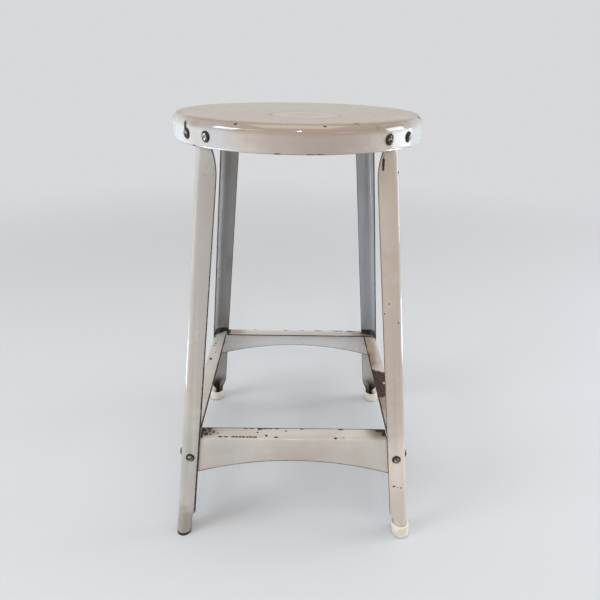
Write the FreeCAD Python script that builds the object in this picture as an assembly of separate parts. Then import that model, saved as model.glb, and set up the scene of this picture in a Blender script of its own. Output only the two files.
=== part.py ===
"""A round-seated sheet-steel shop stool.

The stool stands on the floor at z = 0, with +Z up, its front towards -Y, and the middle of its
footprint at the origin. All lengths are in millimetres.

One pressed pan is the seat. Four pressed angle legs lean in towards it: each is one strip of
sheet, folded to an angle along most of its length, curled into an open tube at the foot, and
flattened at the top to lie against the inside of the seat's rim. Four footrest stretchers tie
the legs together. Slotted screws and hexagon nuts hold it all. Three of the four feet wear a
moulded cap, and the front left one stands bare.
"""
import FreeCAD
import Part

import math
import os

# Seat pan
seat_diameter = 288.0
seat_height = 526.0
seat_sheet = 1.2
rim_depth = 27.5
shoulder_radius = 9.0
crest_width = 2.0
dish_depth = 2.0
dish_slope_width = 40.0
rim_roll_radius = 4.0
rim_roll_angle = 45.0

# Legs: the spread is across the outer faces of two legs at the floor
foot_spread = 313.0
leg_sheet = 1.6
leg_flange_width = 23.2
leg_corner_radius = 7.5
foot_tube_diameter = 19.0
foot_tube_height = 22.0
foot_curl_height = 24.0
neck_length = 32.0
neck_relief = 6.0
neck_open_share = 0.42
leg_rim_gap = 0.05
leg_top_gap = 0.5

# Stretchers: the top is the height of the footrest above the floor
stretcher_sheet = 1.2
stretcher_top = 153.8
stretcher_flange_width = 20.0
stretcher_bend_radius = 2.5
web_middle_height = 32.5
web_end_height = 55.5
web_corner_gap = 0.3
flange_clip_outer = 20.0
flange_clip_inner = 4.0
flange_end_gap = 1.0

# Screws and nuts
head_diameter = 11.0
head_height = 2.8
head_edge = 0.5
slot_width = 1.2
slot_depth = 1.3
shank_diameter = 4.8
shank_chamfer = 0.5
screw_hole_gap = 0.2
nut_across_flats = 9.5
nut_thickness = 3.2
nut_bore_gap = 0.05
nut_seat_gap = 0.02
screw_beyond_nut = 1.8
rim_screw_drop = 16.0
rim_screw_spacing = 32.4
leg_screw_height = 126.0
leg_screw_inset = 12.5

# Foot caps
cap_wall = 2.2
cap_height = 18.0
cap_floor = 3.0
cap_edge = 0.8
cap_bore_gap = 0.05

# One overrun serves every cut
overrun = 5.0

# How many level sections describe each shaped end of a leg
shaping_steps = 5

# The way each screw's slot was left pointing, in degrees
rim_slot_angles = {"front_left": (35.0, -40.0), "front_right": (-35.0, 50.0),
                   "rear_right": (10.0, 70.0), "rear_left": (-65.0, 20.0)}
leg_slot_angles = {"front_left": (25.0, -50.0), "front_right": (-20.0, 60.0),
                   "rear_right": (80.0, -15.0), "rear_left": (5.0, 40.0)}

# A quarter turn carries each corner and each side of the stool on to the next. A corner's pieces
# are made on the +X axis, or straddling the front right diagonal, and then turned into place.
first_diagonal = -45.0
corner_turns = {"front_right": 0.0, "rear_right": 90.0, "rear_left": 180.0, "front_left": 270.0}
side_turns = {"front": 0.0, "right": 90.0, "rear": 180.0, "left": 270.0}
capped_corners = ("front_right", "rear_right", "rear_left")

UP = FreeCAD.Vector(0, 0, 1)
CENTRE = FreeCAD.Vector(0, 0, 0)

# Sizes that follow from the ones above
seat_radius = seat_diameter / 2
rim_inside_radius = seat_radius - seat_sheet
rim_bottom = seat_height - rim_depth
skirt_top = seat_height - shoulder_radius
roll_turn = math.radians(rim_roll_angle)
roll_rise = rim_roll_radius * math.sin(roll_turn)
roll_draw_in = (rim_roll_radius - seat_sheet) * (1 - math.cos(roll_turn))

tube_middle_radius = (foot_tube_diameter - leg_sheet) / 2
corner_middle_radius = leg_corner_radius - leg_sheet / 2
corner_length = corner_middle_radius * math.pi / 2
flange_length = leg_flange_width - leg_corner_radius
corner_cut_back = leg_corner_radius * (math.sqrt(2) - 1)

neck_top = rim_bottom + roll_rise / 2
strap_start = rim_bottom + roll_rise + seat_sheet
strap_top = skirt_top - leg_top_gap
neck_start = rim_bottom - neck_length
leg_neck_reach = rim_inside_radius - roll_draw_in - 3 * leg_rim_gap
strap_reach = rim_inside_radius - leg_rim_gap

foot_corner = foot_spread / 2
neck_corner = (leg_neck_reach + corner_cut_back) / math.sqrt(2)
leg_slope = (foot_corner - neck_corner) / neck_top


def leg_corner(height):
    """How far out, along X and along Y, a leg's sharp outer corner would lie at a height."""
    return foot_corner - leg_slope * height


def leg_reach(height):
    """How far out, along the diagonal, a leg's rounded corner lies at a height."""
    return leg_corner(height) * math.sqrt(2) - corner_cut_back


def turned(shape, degrees):
    """A copy of a shape, turned about the stool's upright axis."""
    copy = shape.copy()
    copy.rotate(CENTRE, UP, degrees)
    return copy


def aimed(shape, point, direction, spin=0.0):
    """A copy of a shape made along +Z, spun about itself, aimed along a direction and set at a point."""
    copy = shape.copy()
    copy.rotate(CENTRE, UP, spin)
    copy.Placement = FreeCAD.Placement(point, FreeCAD.Rotation(UP, direction)).multiply(copy.Placement)
    return copy


def walk(start, heading, moves):
    """Follows a bent line. Each move is its length and the angle it turns, in radians.

    It gives the three frames of every move, at its start, middle and end: a point and the
    heading there, as plain numbers in the plane of the bend.
    """
    frames = []
    u, v = start
    for length, turn in moves:
        three = []
        for share in (0.0, 0.5, 1.0):
            bend = turn * share
            if abs(turn) < 1e-9:
                du, dv = length * share, 0.0
            else:
                radius = length / turn
                du, dv = radius * math.sin(bend), radius * (1 - math.cos(bend))
            point_u = u + du * math.cos(heading) - dv * math.sin(heading)
            point_v = v + du * math.sin(heading) + dv * math.cos(heading)
            three.append((point_u, point_v, heading + bend))
        frames.append(three)
        u, v, heading = three[-1]
    return frames


def side_edges(frames, offset, place):
    """The edges of one face of a bent sheet, offset to the left of its walked middle line."""
    edges = []
    for three in frames:
        points = [place(u - offset * math.sin(h), v + offset * math.cos(h)) for u, v, h in three]
        if abs(three[0][2] - three[2][2]) < 1e-9:
            edges.append(Part.LineSegment(points[0], points[2]).toShape())
        else:
            edges.append(Part.Arc(points[0], points[1], points[2]).toShape())
    return edges


def sheet_wire(frames, thickness, place):
    """The closed outline of a bent sheet of even thickness about its walked middle line."""
    left = side_edges(frames, thickness / 2, place)
    right = side_edges(frames, -thickness / 2, place)
    far_cap = Part.LineSegment(left[-1].Vertexes[-1].Point, right[-1].Vertexes[-1].Point).toShape()
    near_cap = Part.LineSegment(right[0].Vertexes[0].Point, left[0].Vertexes[0].Point).toShape()
    return Part.Wire(left + [far_cap] + right[::-1] + [near_cap])


def make_seat_pan():
    """One round pressing: a shallow dish, a rounded shoulder and a skirt rolled in at its edge."""
    slope_radius = (dish_slope_width ** 2 + dish_depth ** 2) / (4 * dish_depth)
    slope_turn = math.asin(dish_slope_width / 2 / slope_radius)
    dish_flat = seat_radius - shoulder_radius - crest_width - dish_slope_width
    shoulder_middle = shoulder_radius - seat_sheet / 2
    roll_middle = rim_roll_radius - seat_sheet / 2
    skirt_length = skirt_top - rim_bottom - roll_rise
    moves = [(dish_flat, 0.0),
             (slope_radius * slope_turn, slope_turn),
             (slope_radius * slope_turn, -slope_turn),
             (crest_width, 0.0),
             (shoulder_middle * math.pi / 2, -math.pi / 2),
             (skirt_length, 0.0),
             (roll_middle * roll_turn, -roll_turn)]
    middle_height = seat_height - dish_depth - seat_sheet / 2
    frames = walk((0.0, middle_height), 0.0, moves)
    outline = sheet_wire(frames, seat_sheet, lambda r, z: FreeCAD.Vector(r, 0, z))
    pan = Part.Face(outline).revolve(CENTRE, UP, 360)
    for turn in corner_turns.values():
        for hole in rim_hole_cutters():
            pan = pan.cut(turned(hole, turn + first_diagonal))
    return pan


def leg_section(height, reach, flange, corner_bend, flange_bend):
    """The level outline of a leg on the +X axis, from its flanges' length and its sheet's bends."""
    corner_turn = corner_length * corner_bend
    flange_turn = flange * flange_bend
    moves = [(flange, flange_turn), (corner_length, corner_turn), (flange, flange_turn)]
    half_turn = flange_turn + corner_turn / 2
    frames = walk((0.0, 0.0), math.pi / 2 - half_turn, moves)
    middle_u, middle_v, _ = frames[1][1]
    shift_u = reach - leg_sheet / 2 - middle_u
    frames = [[(u + shift_u, v - middle_v, h) for u, v, h in three] for three in frames]
    return sheet_wire(frames, leg_sheet, lambda x, y: FreeCAD.Vector(x, y, height))


def leg_stations(bottom):
    """The heights at which a leg's section is set, with its reach, flanges and bends.

    Just under the rim the edges of the strip are cut back in a curve, which lets it flatten.
    """
    tube_bend = 1 / tube_middle_radius
    angle_bend = 1 / corner_middle_radius
    rim_bend = 1 / (strap_reach - leg_sheet / 2)
    tube_top = foot_tube_height
    stations = [(bottom, leg_reach(bottom), flange_length, tube_bend, tube_bend)]
    for step in range(shaping_steps + 1):
        share = step / shaping_steps
        eased = share * share * (3 - 2 * share)
        height = tube_top + foot_curl_height * share
        corner_bend = tube_bend + (angle_bend - tube_bend) * eased
        flange_bend = tube_bend * (1 - eased)
        stations.append((height, leg_reach(height), flange_length, corner_bend, flange_bend))
    for step in range(shaping_steps + 1):
        share = step / shaping_steps
        opened = neck_open_share * share * share
        flange = flange_length - neck_relief * share * share
        height = neck_start + (neck_top - neck_start) * share
        corner_bend = angle_bend + (rim_bend - angle_bend) * opened
        stations.append((height, leg_reach(height), flange, corner_bend, rim_bend * opened))
    for step in (1, 2):
        share = step / 2
        opened = neck_open_share + (1 - neck_open_share) * share
        flange = flange_length - neck_relief * (1 - share)
        height = neck_top + (strap_start - neck_top) * share
        reach = leg_neck_reach + (strap_reach - leg_neck_reach) * share
        corner_bend = angle_bend + (rim_bend - angle_bend) * opened
        stations.append((height, reach, flange, corner_bend, rim_bend * opened))
    stations.append((strap_top, strap_reach, flange_length, rim_bend, rim_bend))
    return stations


def make_leg(bottom, corner_turn):
    """One leg: a strip of sheet, tubular at the foot, angled along its length, flat at the top."""
    sections = [leg_section(*station) for station in leg_stations(bottom)]
    leg = Part.makeLoft(sections, True, True)
    for hole in rim_hole_cutters():
        leg = leg.cut(hole)
    leg = turned(leg, corner_turn + first_diagonal)
    for point, outward in leg_screw_places(corner_turn):
        leg = leg.cut(through_hole(point, outward))
    return leg


def through_hole(point, outward):
    """A cutter for one screw hole, along a direction through a point on an outer face."""
    radius = shank_diameter / 2 + screw_hole_gap
    depth = overrun + leg_sheet + stretcher_sheet
    cutter = Part.makeCylinder(radius, depth + overrun, FreeCAD.Vector(0, 0, -depth))
    return aimed(cutter, point, outward)


def rim_screw_places():
    """Where a corner's two rim screws enter the skirt, with that corner on the +X axis."""
    swing = math.asin(rim_screw_spacing / 2 / seat_radius)
    height = seat_height - rim_screw_drop
    places = []
    for angle in (-swing, swing):
        outward = FreeCAD.Vector(math.cos(angle), math.sin(angle), 0)
        places.append((outward * seat_radius + UP * height, outward))
    return places


def rim_hole_cutters():
    """The cutters for a corner's two rim holes, with that corner on the +X axis."""
    return [through_hole(point, outward) for point, outward in rim_screw_places()]


def leg_screw_places(corner_turn):
    """Where a corner's two stretcher screws enter the leg's outer faces."""
    corner = leg_corner(leg_screw_height)
    along = corner - leg_screw_inset
    outward = FreeCAD.Vector(0, -1, leg_slope).normalize()
    places = []
    for sign, turn in ((1, corner_turn), (-1, corner_turn + 90)):
        spin = FreeCAD.Rotation(UP, turn)
        point = FreeCAD.Vector(sign * along, -corner, leg_screw_height)
        places.append((spin.multVec(point), spin.multVec(outward)))
    return places


def make_stretcher(side_turn):
    """One footrest: an arched web against the legs, and a flange turned in along its top.

    One end of the flange is clipped and runs on into its corner. The other stops short of the
    next stretcher's flange.
    """
    lean = math.atan(leg_slope)
    bend_turn = math.pi / 2 - lean
    bend_reach = stretcher_bend_radius * math.tan(bend_turn / 2)
    bend_middle = stretcher_bend_radius - stretcher_sheet / 2
    web_face = leg_corner(stretcher_top) - leg_sheet
    flange_start = (stretcher_flange_width - web_face, stretcher_top - stretcher_sheet / 2)
    web_run = (web_end_height + overrun) / math.cos(lean)
    moves = [(stretcher_flange_width - bend_reach, 0.0),
             (bend_middle * bend_turn, bend_turn),
             (web_run, 0.0)]
    frames = walk(flange_start, math.pi, moves)
    half_length = foot_corner
    outline = sheet_wire(frames, stretcher_sheet, lambda y, z: FreeCAD.Vector(-half_length, y, z))
    body = Part.Face(outline).extrude(FreeCAD.Vector(2 * half_length, 0, 0))

    end_top = stretcher_top + overrun
    end_bottom = stretcher_top - web_end_height
    end_setback = leg_corner_radius + web_corner_gap
    trapezium = [(-1, end_bottom), (1, end_bottom), (1, end_top), (-1, end_top), (-1, end_bottom)]
    corners = [FreeCAD.Vector(side * (leg_corner(z) - end_setback), -2 * web_face, z)
               for side, z in trapezium]
    envelope = Part.Face(Part.makePolygon(corners)).extrude(FreeCAD.Vector(0, 2 * web_face, 0))
    body = body.common(envelope)

    half_chord = leg_corner(end_bottom) - end_setback
    arch_rise = web_end_height - web_middle_height
    arch_radius = (half_chord ** 2 + arch_rise ** 2) / (2 * arch_rise)
    arch_centre = FreeCAD.Vector(0, -2 * web_face, stretcher_top - web_middle_height - arch_radius)
    arch = Part.makeCylinder(arch_radius, 2 * web_face, arch_centre, FreeCAD.Vector(0, 1, 0))
    body = body.cut(arch)

    inner_edge = stretcher_flange_width - web_face
    web_inside = stretcher_sheet - web_face
    end_face = leg_corner(stretcher_top) - leg_sheet
    clip_start = end_face - flange_clip_outer
    clip_finish = end_face - flange_clip_inner
    clip = [(-clip_start, web_inside), (-clip_finish, inner_edge), (-clip_finish, inner_edge + overrun),
            (-2 * end_face, inner_edge + overrun), (-2 * end_face, web_inside)]
    stop = end_face - stretcher_flange_width - flange_end_gap
    short = [(stop, web_inside), (2 * end_face, web_inside), (2 * end_face, inner_edge + overrun),
             (stop, inner_edge + overrun)]
    for outline_points in (clip, short):
        loop = outline_points + outline_points[:1]
        corners = [FreeCAD.Vector(x, y, stretcher_top - stretcher_bend_radius) for x, y in loop]
        cutter = Part.Face(Part.makePolygon(corners)).extrude(UP * (stretcher_bend_radius + overrun))
        body = body.cut(cutter)

    body = turned(body, side_turn)
    for corner_turn in (side_turn, side_turn - 90):
        for point, outward in leg_screw_places(corner_turn):
            body = body.cut(through_hole(point, outward))
    return body


def make_screw(grip, spin):
    """A slotted screw along +Z, with the underside of its low domed head at z = 0."""
    head_radius = head_diameter / 2
    shank_radius = shank_diameter / 2
    length = grip + nut_thickness + screw_beyond_nut
    corners = [FreeCAD.Vector(0, 0, -length),
               FreeCAD.Vector(shank_radius - shank_chamfer, 0, -length),
               FreeCAD.Vector(shank_radius, 0, shank_chamfer - length),
               FreeCAD.Vector(shank_radius, 0, 0),
               FreeCAD.Vector(head_radius, 0, 0),
               FreeCAD.Vector(head_radius, 0, head_edge)]
    top = FreeCAD.Vector(0, 0, head_height)
    dome_rise = head_height - head_edge
    dome_radius = (head_radius ** 2 + dome_rise ** 2) / (2 * dome_rise)
    half_angle = math.asin(head_radius / dome_radius) / 2
    dome_centre = head_height - dome_radius
    on_dome = FreeCAD.Vector(dome_radius * math.sin(half_angle), 0,
                             dome_centre + dome_radius * math.cos(half_angle))
    edges = [Part.LineSegment(a, b).toShape() for a, b in zip(corners, corners[1:])]
    edges.append(Part.Arc(corners[-1], on_dome, top).toShape())
    edges.append(Part.LineSegment(top, corners[0]).toShape())
    screw = Part.Face(Part.Wire(edges)).revolve(CENTRE, UP, 360)
    slot_corner = FreeCAD.Vector(-head_diameter, -slot_width / 2, head_height - slot_depth)
    slot = Part.makeBox(2 * head_diameter, slot_width, overrun, slot_corner)
    return turned(screw.cut(slot), spin)


def make_nut():
    """A hexagon nut along +Z, with its seat at z = 0 and its body below."""
    corner_reach = nut_across_flats / math.sqrt(3)
    flat_radius = nut_across_flats / 2
    corners = [FreeCAD.Vector(corner_reach * math.cos(math.radians(a)),
                              corner_reach * math.sin(math.radians(a)), -nut_thickness)
               for a in range(0, 361, 60)]
    prism = Part.Face(Part.makePolygon(corners)).extrude(UP * nut_thickness)
    cone_height = flat_radius + nut_thickness
    cone = Part.makeCone(flat_radius, flat_radius + cone_height, cone_height,
                         FreeCAD.Vector(0, 0, -nut_thickness))
    bore = Part.makeCylinder(shank_diameter / 2 + nut_bore_gap, nut_thickness + 2 * overrun,
                             FreeCAD.Vector(0, 0, -nut_thickness - overrun))
    return prism.common(cone).cut(bore)


def make_rim_screws(corner):
    """The two screws that hold one leg to the rim."""
    grip = seat_sheet + leg_rim_gap + leg_sheet + nut_seat_gap
    shapes = []
    for (point, outward), spin in zip(rim_screw_places(), rim_slot_angles[corner]):
        screw = aimed(make_screw(grip, spin), point, outward)
        shapes.append(turned(screw, corner_turns[corner] + first_diagonal))
    return Part.makeCompound(shapes)


def make_rim_nuts(corner):
    """Their two nuts, drawn up against the flattened top of the leg."""
    leg_inside = strap_reach - leg_sheet
    corner_reach = nut_across_flats / math.sqrt(3)
    seat = math.sqrt(leg_inside ** 2 - corner_reach ** 2) - nut_seat_gap
    shapes = []
    for point, outward in rim_screw_places():
        place = outward * seat + UP * point.z
        shapes.append(turned(aimed(make_nut(), place, outward), corner_turns[corner] + first_diagonal))
    return Part.makeCompound(shapes)


def make_leg_screws(corner):
    """The two screws that hold the ends of two stretchers in one leg."""
    grip = leg_sheet + stretcher_sheet
    shapes = []
    for (point, outward), spin in zip(leg_screw_places(corner_turns[corner]), leg_slot_angles[corner]):
        shapes.append(aimed(make_screw(grip, spin), point, outward))
    return Part.makeCompound(shapes)


def make_leg_nuts(corner):
    """Their two nuts, drawn up against the webs of the stretchers."""
    lean = math.atan(leg_slope)
    seat_depth = leg_sheet * math.cos(lean) + stretcher_sheet + nut_seat_gap
    shapes = []
    for point, outward in leg_screw_places(corner_turns[corner]):
        shapes.append(aimed(make_nut(), point - outward * seat_depth, outward))
    return Part.makeCompound(shapes)


def make_foot_cap(corner):
    """A moulded cap that leans with its leg: a thick floor, a plain bore and eased edges."""
    tube_radius = foot_tube_diameter / 2
    outer_radius = tube_radius + cap_bore_gap + cap_wall

    def ring(height, radius):
        centre = FreeCAD.Vector(leg_reach(height) - tube_radius, 0, height)
        return Part.Wire(Part.makeCircle(radius, centre))

    outside = Part.makeLoft([ring(0, outer_radius - cap_edge),
                             ring(cap_edge, outer_radius),
                             ring(cap_height - cap_edge, outer_radius),
                             ring(cap_height, outer_radius - cap_edge)], True, True)
    bore = Part.makeLoft([ring(cap_floor, tube_radius + cap_bore_gap),
                          ring(cap_height + overrun, tube_radius + cap_bore_gap)], True, True)
    return turned(outside.cut(bore), corner_turns[corner] + first_diagonal)


def make_nodes():
    """Every piece or group of like fasteners of the stool, by name."""
    nodes = {"seat_pan": make_seat_pan()}
    for corner, turn in corner_turns.items():
        bottom = cap_floor if corner in capped_corners else 0.0
        nodes[corner + "_leg"] = make_leg(bottom, turn)
        nodes[corner + "_rim_screws"] = make_rim_screws(corner)
        nodes[corner + "_rim_nuts"] = make_rim_nuts(corner)
        nodes[corner + "_stretcher_screws"] = make_leg_screws(corner)
        nodes[corner + "_stretcher_nuts"] = make_leg_nuts(corner)
        if corner in capped_corners:
            nodes[corner + "_foot_cap"] = make_foot_cap(corner)
    for side, turn in side_turns.items():
        nodes[side + "_stretcher"] = make_stretcher(turn)
    return nodes


os.makedirs("parts", exist_ok=True)
for node, shape in make_nodes().items():
    shape.exportStep("parts/" + node + ".step")
    box = shape.BoundBox
    print(node, len(shape.Solids), "solid", "valid" if shape.isValid() else "NOT VALID",
          "volume", round(shape.Volume, 1),
          "x", round(box.XMin, 1), round(box.XMax, 1), "y", round(box.YMin, 1), round(box.YMax, 1),
          "z", round(box.ZMin, 1), round(box.ZMax, 1))
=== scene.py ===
# %% [markdown]
# # A worn steel stool, dressed in Blender
# The real stool is sheet steel, pressed and folded, sprayed with a warm grey enamel and then used
# for decades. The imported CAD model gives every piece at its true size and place. This lesson puts
# a camera and soft light round it, remodels the pieces that show rounded or cut detail, and gives
# each piece a paint, steel or plastic made from nodes. Blender counts in metres, so the sizes
# below are written in millimetres times `mm`.

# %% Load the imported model
import math

import bpy
from mathutils import Matrix, Vector


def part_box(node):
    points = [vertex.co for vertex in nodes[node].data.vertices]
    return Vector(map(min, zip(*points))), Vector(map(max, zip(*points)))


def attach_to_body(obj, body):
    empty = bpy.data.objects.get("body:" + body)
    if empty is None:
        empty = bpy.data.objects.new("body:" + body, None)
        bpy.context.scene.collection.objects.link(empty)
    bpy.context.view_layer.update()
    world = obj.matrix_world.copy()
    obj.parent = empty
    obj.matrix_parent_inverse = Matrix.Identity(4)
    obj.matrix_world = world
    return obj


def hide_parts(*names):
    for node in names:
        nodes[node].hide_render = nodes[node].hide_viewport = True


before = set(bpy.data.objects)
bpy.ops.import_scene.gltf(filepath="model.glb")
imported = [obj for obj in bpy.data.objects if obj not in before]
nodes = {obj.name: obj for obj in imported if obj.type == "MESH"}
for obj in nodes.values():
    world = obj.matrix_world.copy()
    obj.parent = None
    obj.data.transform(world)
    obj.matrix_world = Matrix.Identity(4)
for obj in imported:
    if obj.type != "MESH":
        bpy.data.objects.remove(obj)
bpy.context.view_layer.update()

mm = 0.001

# %% [markdown]
# ## Camera
# The photograph was taken close to the stool, looking down at it. A camera that is close gives
# strong perspective: the seat looks wide and the rear feet small. Its place could be tried by eye,
# but a fit to measured points of the stool is surer. These numbers are that fit, and they come
# first because every later choice is judged through this camera.

# %% Camera
camera_data = bpy.data.cameras.new("camera")
camera_data.sensor_width = 36.0
camera_data.lens = 29.034
camera = bpy.data.objects.new("camera", camera_data)
camera.location = (-0.000402, -0.605250, 0.574964)
camera.rotation_euler = [math.radians(angle) for angle in (63.9933, -0.9293, -0.1746)]
bpy.context.scene.collection.objects.link(camera)
bpy.context.scene.camera = camera
bpy.context.scene.view_settings.view_transform = "Standard"
print("camera", tuple(camera.location), "lens", camera_data.lens)

# %% [markdown]
# ## Helpers for nodes
# A procedural material is a small sum in nodes. Wiring it by hand in the editor is easy to see and
# slow to repeat, so these helpers add a node or two each and return the socket that the next one
# uses. A socket knows its own tree, so only the first nodes have to be told it.

# %% Node helpers
def add(tree, kind, inputs=None, output=0, **settings):
    """Adds one shader node, links or sets its inputs, and returns one of its outputs."""
    made = tree.nodes.new("ShaderNode" + kind)
    for name, value in settings.items():
        setattr(made, name, value)
    for name, value in (inputs or {}).items():
        if isinstance(value, bpy.types.NodeSocket):
            tree.links.new(value, made.inputs[name])
        else:
            made.inputs[name].default_value = value
    return made.outputs[output]


def attach(kind, inputs, output=0, **settings):
    """Adds a node to the tree that its linked inputs belong to."""
    linked = [value for value in inputs.values() if isinstance(value, bpy.types.NodeSocket)]
    return add(linked[0].id_data, kind, inputs, output, **settings)


def noise(place, scale, detail=4, roughness=0.6):
    """Cloudy noise from 0 to 1. The scale counts waves per metre."""
    return attach("TexNoise", {"Vector": place, "Scale": scale, "Detail": detail,
                               "Roughness": roughness})


def rise(value, low, high):
    """A smooth step from 0 at low to 1 at high. With low above high it falls instead."""
    return attach("MapRange", {"Value": value, "From Min": low, "From Max": high},
                  interpolation_type="SMOOTHSTEP")


def ramp(value, low, high, at_low, at_high):
    """A straight line from one result at low to another at high, and level beyond them."""
    return attach("MapRange", {"Value": value, "From Min": low, "From Max": high,
                               "To Min": at_low, "To Max": at_high})


def maths(operation, first, second=0.0):
    return attach("Math", {0: first, 1: second}, operation=operation)


def plus(first, second):
    return maths("ADD", first, second)


def times(*factors):
    """The product of two or more sockets or numbers."""
    product = factors[0]
    for factor in factors[1:]:
        product = maths("MULTIPLY", product, factor)
    return product


def waver(cloud, width):
    """Turns a cloud of 0 to 1 into one of the given width round zero."""
    return times(maths("SUBTRACT", cloud, 0.5), width)


def vectors(operation, *operands):
    """Arithmetic on vectors. A length or a dot product comes out as a number."""
    output = "Value" if operation in ("LENGTH", "DOT_PRODUCT") else "Vector"
    return attach("VectorMath", dict(enumerate(operands)), output, operation=operation)


def axis(vector, letter):
    return attach("SeparateXYZ", {0: vector}, letter)


def radii_away(place, centre, stretch):
    """The distance from a centre, counted in the radii that the stretch is one over."""
    return vectors("LENGTH", vectors("MULTIPLY", vectors("SUBTRACT", place, centre), stretch))


def blend(share, under, over):
    """Lays one colour over another, as thickly as share says."""
    return attach("Mix", {0: share, 6: under, 7: over}, output=2, data_type="RGBA")


def bump(height, strength, distance, **under):
    """Raises the surface by a height, over another bump if one is given."""
    return attach("Bump", {"Height": height, "Strength": strength, "Distance": distance, **under})


def wire(shader, sockets):
    """Links each socket to the shader's input of that name."""
    for name, socket in sockets.items():
        shader.id_data.links.new(socket, shader.inputs[name])


def new_material(name):
    material = bpy.data.materials.new(name)
    material.use_nodes = True
    return material, material.node_tree, material.node_tree.nodes["Principled BSDF"]


def dress(piece, material):
    piece.data.materials.clear()
    piece.data.materials.append(material)


print("node helpers ready")

# %% [markdown]
# ## Floor and backdrop
# A studio sweep hides where the floor ends. Here the floor is one wide disc that turns into the
# backdrop's own colour with distance, so every view ends in the same plain pale tone. From below
# the disc is see-through, so that it doesn't hide the underside. The world gives soft light from
# all round, and shows the backdrop's colour to the camera and in reflections.

# %% Floor and world
backdrop_colour = (0.680, 0.687, 0.705, 1)
floor_colour = (0.625, 0.628, 0.640, 1)
floor_radius = 8
fade_start, fade_end = 0.5, 2.2
bpy.ops.object.select_all(action="DESELECT")
bpy.ops.mesh.primitive_circle_add(vertices=96, radius=floor_radius, fill_type="NGON")
floor = bpy.context.object
floor.name = "studio_floor"

floor_paint, tree, shader = new_material("floor_paint")
shader.inputs["Base Color"].default_value = floor_colour
shader.inputs["Roughness"].default_value = 0.85
place = add(tree, "TexCoord", output="Object")
far = rise(vectors("LENGTH", place), fade_start, fade_end)
glow = add(tree, "Emission", {"Color": backdrop_colour})
surface = add(tree, "MixShader", {0: far, 1: shader.outputs[0], 2: glow})
below = add(tree, "NewGeometry", output="Backfacing")
surface = add(tree, "MixShader", {0: below, 1: surface, 2: add(tree, "BsdfTransparent")})
tree.links.new(surface, tree.nodes["Material Output"].inputs["Surface"])
floor.data.materials.append(floor_paint)

world = bpy.data.worlds.new("studio")
world.use_nodes = True
bpy.context.scene.world = world
tree = world.node_tree
rays = tree.nodes.new("ShaderNodeLightPath")
seen = maths("MAXIMUM", rays.outputs["Is Camera Ray"], rays.outputs["Is Glossy Ray"])
seen = maths("MAXIMUM", seen, rays.outputs["Is Transmission Ray"])
light = add(tree, "Background", {"Color": (1.0, 0.985, 0.965, 1), "Strength": 0.54})
shown = add(tree, "Background", {"Color": backdrop_colour, "Strength": 1.0})
sky = add(tree, "MixShader", {0: seen, 1: light, 2: shown})
tree.links.new(sky, tree.nodes["World Output"].inputs["Surface"])
print("floor and world ready")

# %% [markdown]
# ## Lamps
# A streak on glossy paint is a picture of a lamp, so each lamp stands where the paint would show
# it. At each side a window lights the stool, with a low lamp under it for the light that comes
# back from below. A sill near the floor lights the rim's lower edge, and a thin strip draws the
# white line on its shoulder. One small lamp above the camera gives the spark at the middle, and a
# wide ceiling fills in from above. The camera sees none of them directly.

# %% Lamps
def softbox(name, spot, width, height, power, colour, target, spread=180):
    """A rectangular area lamp at a spot, turned to face its target, with its beam's spread."""
    lamp = bpy.data.lights.new(name, "AREA")
    lamp.shape = "RECTANGLE"
    lamp.size = width
    lamp.size_y = height
    lamp.energy = power
    lamp.color = colour
    lamp.spread = math.radians(spread)
    holder = bpy.data.objects.new(name, lamp)
    holder.location = spot
    holder.rotation_euler = (Vector(target) - Vector(spot)).to_track_quat("-Z", "Y").to_euler()
    holder.visible_camera = False
    bpy.context.scene.collection.objects.link(holder)


stool_middle = (0, 0, 0.35)
rim_left = (-0.10, -0.10, 0.50)
rim_right = (0.10, -0.10, 0.50)
daylight = (0.79, 0.90, 1.0)
flash = (1.0, 0.95, 0.88)
softbox("left_window", (-1.69, -0.76, 1.29), 0.80, 0.62, 16, daylight, stool_middle)
softbox("left_low", (-1.75, -0.35, 0.30), 1.10, 0.70, 2.4, daylight, stool_middle)
softbox("left_sill", (-0.62, -0.07, 0.08), 0.44, 0.16, 0.28, daylight, rim_left, 50)
softbox("left_strip", (-1.10, -1.21, 1.32), 0.90, 0.05, 2.0, daylight, rim_left)
softbox("right_window", (1.96, 0.13, 0.95), 0.85, 0.80, 17, daylight, stool_middle)
softbox("right_low", (1.90, 0.42, 0.30), 1.00, 0.42, 4.5, daylight, stool_middle)
softbox("right_sill", (0.64, 0.15, 0.08), 0.32, 0.16, 0.16, daylight, rim_right, 50)
softbox("right_strip", (1.25, -1.25, 0.96), 0.80, 0.07, 1.1, daylight, rim_right)
softbox("front_lamp", (0, -1.49, 1.40), 0.07, 0.15, 4.0, flash, (0, -0.14, 0.52))
softbox("ceiling", (0, -0.2, 2.4), 1.6, 1.6, 15, flash, stool_middle)

# %% [markdown]
# ## Helpers for modelling
# An operator acts on everything that is selected, and loading the model leaves its pieces
# selected. So each piece starts from a cleared selection, and edges or faces are then picked by
# where they are, which is what a click would do.

# %% Modelling helpers
def make_active(piece):
    if bpy.context.object and bpy.context.object.mode != "OBJECT":
        bpy.ops.object.mode_set(mode="OBJECT")
    bpy.ops.object.select_all(action="DESELECT")
    piece.select_set(True)
    bpy.context.view_layer.objects.active = piece


def finish_with(piece, kind, **settings):
    """Adds one modifier to a piece and applies it."""
    make_active(piece)
    modifier = piece.modifiers.new(kind.lower(), kind)
    for name, value in settings.items():
        setattr(modifier, name, value)
    bpy.ops.object.modifier_apply(modifier=modifier.name)


def round_edges(piece, width, segments=2, angle=50):
    """Bevels every edge that turns by more than an angle in degrees."""
    finish_with(piece, "BEVEL", width=width, segments=segments, limit_method="ANGLE",
                angle_limit=math.radians(angle))


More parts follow.
